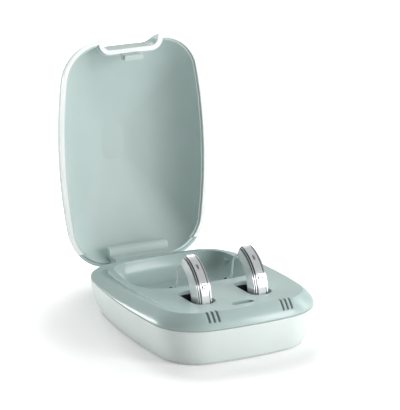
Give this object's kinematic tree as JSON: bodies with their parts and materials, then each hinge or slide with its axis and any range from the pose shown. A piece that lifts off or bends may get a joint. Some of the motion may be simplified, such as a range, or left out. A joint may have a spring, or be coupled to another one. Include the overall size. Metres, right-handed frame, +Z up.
{
  "type": "hearing aid charger",
  "caption": "Hearing aid charger: white and mint base with pockets, storage basin and open hinged domed lid, with a pair of removable behind-the-ear hearing aids.",
  "frame": {"origin": "centre of the foot pad underside, on the table, midway between the sides", "axes": "+X to the right seen from the front, +Y to the back where the lid hinges, +Z up"},
  "size_m": [0.086, 0.155, 0.1245],
  "materials": {
    "rubber_pad": "matt",
    "white_gloss": "gloss",
    "mint_gloss": "gloss",
    "circuit_board": "satin",
    "steel": "plated",
    "bright_steel": "polished",
    "black_plastic": "moulded satin",
    "copper": "enamelled wire",
    "ferrite": "sintered",
    "light_guide": "clear frosted",
    "silver_plastic": "metallic lacquer",
    "aid_white": "gloss",
    "mesh": "fine mesh",
    "wire_sleeve": "extruded sleeve",
    "dark_plastic": "gloss",
    "silicone": "translucent"
  },
  "bodies": {
    "base": {"base_pad": "rubber_pad", "base_shell": "white_gloss", "deck_housing": "mint_gloss", "main_board": "circuit_board", "board_screws": "steel", "housing_screws": "steel", "led_board": "circuit_board", "usb_socket": "bright_steel", "hinge_pin": "steel", "catch_magnet": "bright_steel", "pocket_cup_left": "black_plastic", "charging_coil_left": "copper", "ferrite_left": "ferrite", "light_guide_left": "light_guide", "pocket_cup_right": "black_plastic", "charging_coil_right": "copper", "ferrite_right": "ferrite", "light_guide_right": "light_guide"},
    "lid": {"lid_shell": "mint_gloss", "lid_liner": "mint_gloss", "lid_rim": "white_gloss", "lid_catch": "mint_gloss", "hinge_bracket": "white_gloss"},
    "aid_left": {"aid_left_housing": "silver_plastic", "aid_left_spine": "aid_white", "aid_left_mic_screen": "mesh", "aid_left_battery": "bright_steel", "aid_left_port": "silver_plastic", "aid_left_wire": "wire_sleeve", "aid_left_receiver": "dark_plastic", "aid_left_dome": "silicone"},
    "button_left": {"aid_left_button": "aid_white"},
    "aid_right": {"aid_right_housing": "silver_plastic", "aid_right_spine": "aid_white", "aid_right_mic_screen": "mesh", "aid_right_battery": "bright_steel", "aid_right_port": "silver_plastic", "aid_right_wire": "wire_sleeve", "aid_right_receiver": "dark_plastic", "aid_right_dome": "silicone"},
    "button_right": {"aid_right_button": "aid_white"}
  },
  "joints": [
    {"name": "lid_hinge", "type": "hinge", "parent": "base", "child": "lid", "pos_m": [0, 0.0603, 0.0121], "axis": [-1, 0, 0], "range_deg": [-90.2, 0]},
    {"name": "aid_left_lift", "type": "slide", "parent": "base", "child": "aid_left", "axis": [0, 0.0436, 0.999], "range_m": [0, 0.03]},
    {"name": "aid_left_press", "type": "slide", "parent": "aid_left", "child": "button_left", "axis": [0, 0.9136, -0.4067], "range_m": [0, 0.0004], "stiffness_N_per_m": 300},
    {"name": "aid_right_lift", "type": "slide", "parent": "base", "child": "aid_right", "axis": [0, 0.0436, 0.999], "range_m": [0, 0.03]},
    {"name": "aid_right_press", "type": "slide", "parent": "aid_right", "child": "button_right", "axis": [0, 0.9136, -0.4067], "range_m": [0, 0.0004], "stiffness_N_per_m": 300}
  ]
}
